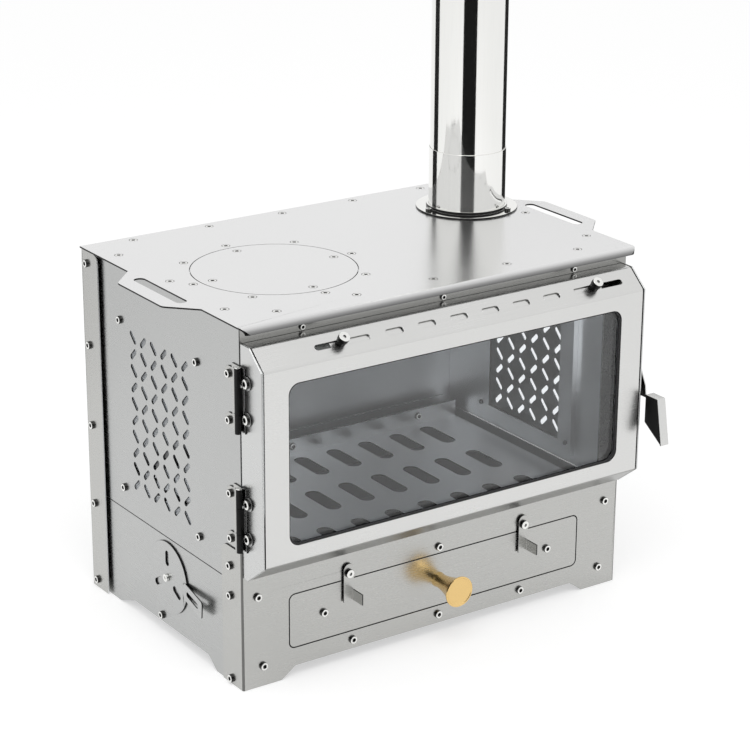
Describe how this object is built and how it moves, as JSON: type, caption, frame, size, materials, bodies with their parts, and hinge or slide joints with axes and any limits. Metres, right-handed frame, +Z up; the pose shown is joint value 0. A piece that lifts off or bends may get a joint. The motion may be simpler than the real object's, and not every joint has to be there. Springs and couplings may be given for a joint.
{
  "type": "tent wood stove",
  "caption": "Folded-sheet tent wood stove with side windows, bevelled glazed door, ash drawer, air shutter, damper, lift-off cook plate, carrying handles and flue.",
  "frame": {"origin": "on the floor, below the middle of the object's box", "axes": "+Z up, +X to the stove's right as seen from its front, the door faces -Y"},
  "size_m": [0.452, 0.317, 0.62],
  "materials": {
    "casing_steel": "satin sheet steel",
    "top_steel": "bright satin sheet steel",
    "flue_steel": "polished",
    "screw_steel": "bright socket screws",
    "fitting_steel": "darker sheet steel",
    "inner_steel": "plain sheet steel",
    "stove_glass": "clear, slightly smoked",
    "seal_fibre": "black woven fibre tape",
    "knob_brass": "turned and polished"
  },
  "bodies": {
    "stove_body": {"lower_front_panel": "casing_steel", "header_plate": "casing_steel", "front_top_rail": "inner_steel", "left_side_panel": "casing_steel", "right_side_panel": "casing_steel", "left_lower_panel": "casing_steel", "right_lower_panel": "casing_steel", "back_panel": "casing_steel", "bottom_tray": "inner_steel", "drawer_runners": "inner_steel", "front_grate_rail": "inner_steel", "rear_grate_rail": "inner_steel", "fire_grate": "inner_steel", "grate_screws": "screw_steel", "left_side_glass": "stove_glass", "right_side_glass": "stove_glass", "left_glass_frame": "inner_steel", "right_glass_frame": "inner_steel", "side_screws": "screw_steel", "front_screws": "screw_steel", "back_screws": "screw_steel", "top_plate": "top_steel", "top_screws": "screw_steel", "cook_seat_ring": "inner_steel", "cook_seat_screws": "screw_steel", "flue_collar": "flue_steel", "flue_collar_screws": "screw_steel", "flue_sleeve": "flue_steel", "flue_pipe": "flue_steel", "upper_hinge_casing_leaf": "fitting_steel", "lower_hinge_casing_leaf": "fitting_steel", "hinge_pins": "screw_steel", "hinge_casing_screws": "screw_steel", "latch_stud": "screw_steel", "damper_pivot": "screw_steel"},
    "door": {"door_shell": "casing_steel", "door_glass": "stove_glass", "glass_seal": "seal_fibre", "glass_retainer": "inner_steel", "retainer_nuts": "screw_steel", "upper_hinge_door_leaf": "fitting_steel", "lower_hinge_door_leaf": "fitting_steel", "hinge_door_screws": "screw_steel", "latch_bracket": "fitting_steel", "latch_bracket_screws": "screw_steel", "latch_pivot": "screw_steel"},
    "latch": {"latch_lever": "fitting_steel"},
    "shutter": {"air_shutter": "inner_steel", "shutter_knobs": "screw_steel"},
    "drawer": {"drawer_front": "casing_steel", "ash_pan": "inner_steel", "drawer_screws": "screw_steel", "drawer_knob": "knob_brass", "clip_screws": "screw_steel"},
    "left_turn_clip": {"left_clip": "casing_steel"},
    "right_turn_clip": {"right_clip": "casing_steel"},
    "damper": {"damper_disk": "casing_steel"},
    "cook_lid": {"cook_plate": "top_steel", "cook_plate_ring": "inner_steel", "cook_plate_screws": "screw_steel"}
  },
  "joints": [
    {"name": "door_hinge", "type": "hinge", "parent": "stove_body", "child": "door", "pos_m": [-0.2032, -0.10715, 0.209], "axis": [0, 0, -1], "range_deg": [0, 135]},
    {"name": "latch_turn", "type": "hinge", "parent": "door", "child": "latch", "pos_m": [0.20235, -0.12195, 0.203], "axis": [-1, 0, 0], "range_deg": [-8, 45]},
    {"name": "shutter_slide", "type": "slide", "parent": "door", "child": "shutter", "axis": [1, 0, 0], "range_m": [-0.018, 0.018]},
    {"name": "drawer_slide", "type": "slide", "parent": "stove_body", "child": "drawer", "axis": [0, -1, 0], "range_m": [0, 0.2]},
    {"name": "left_clip_turn", "type": "hinge", "parent": "drawer", "child": "left_turn_clip", "pos_m": [-0.0955, -0.10575, 0.083], "axis": [0, 1, 0], "range_deg": [0, 90]},
    {"name": "right_clip_turn", "type": "hinge", "parent": "drawer", "child": "right_turn_clip", "pos_m": [0.091, -0.10575, 0.083], "axis": [0, -1, 0], "range_deg": [0, 90]},
    {"name": "damper_turn", "type": "hinge", "parent": "stove_body", "child": "damper", "pos_m": [-0.1997, 0.02005, 0.0574], "axis": [-1, 0, 0], "range_deg": [0, 60]},
    {"name": "cook_plate_lift", "type": "slide", "parent": "stove_body", "child": "cook_lid", "axis": [0, 0, 1], "range_m": [0, 0.05]}
  ]
}
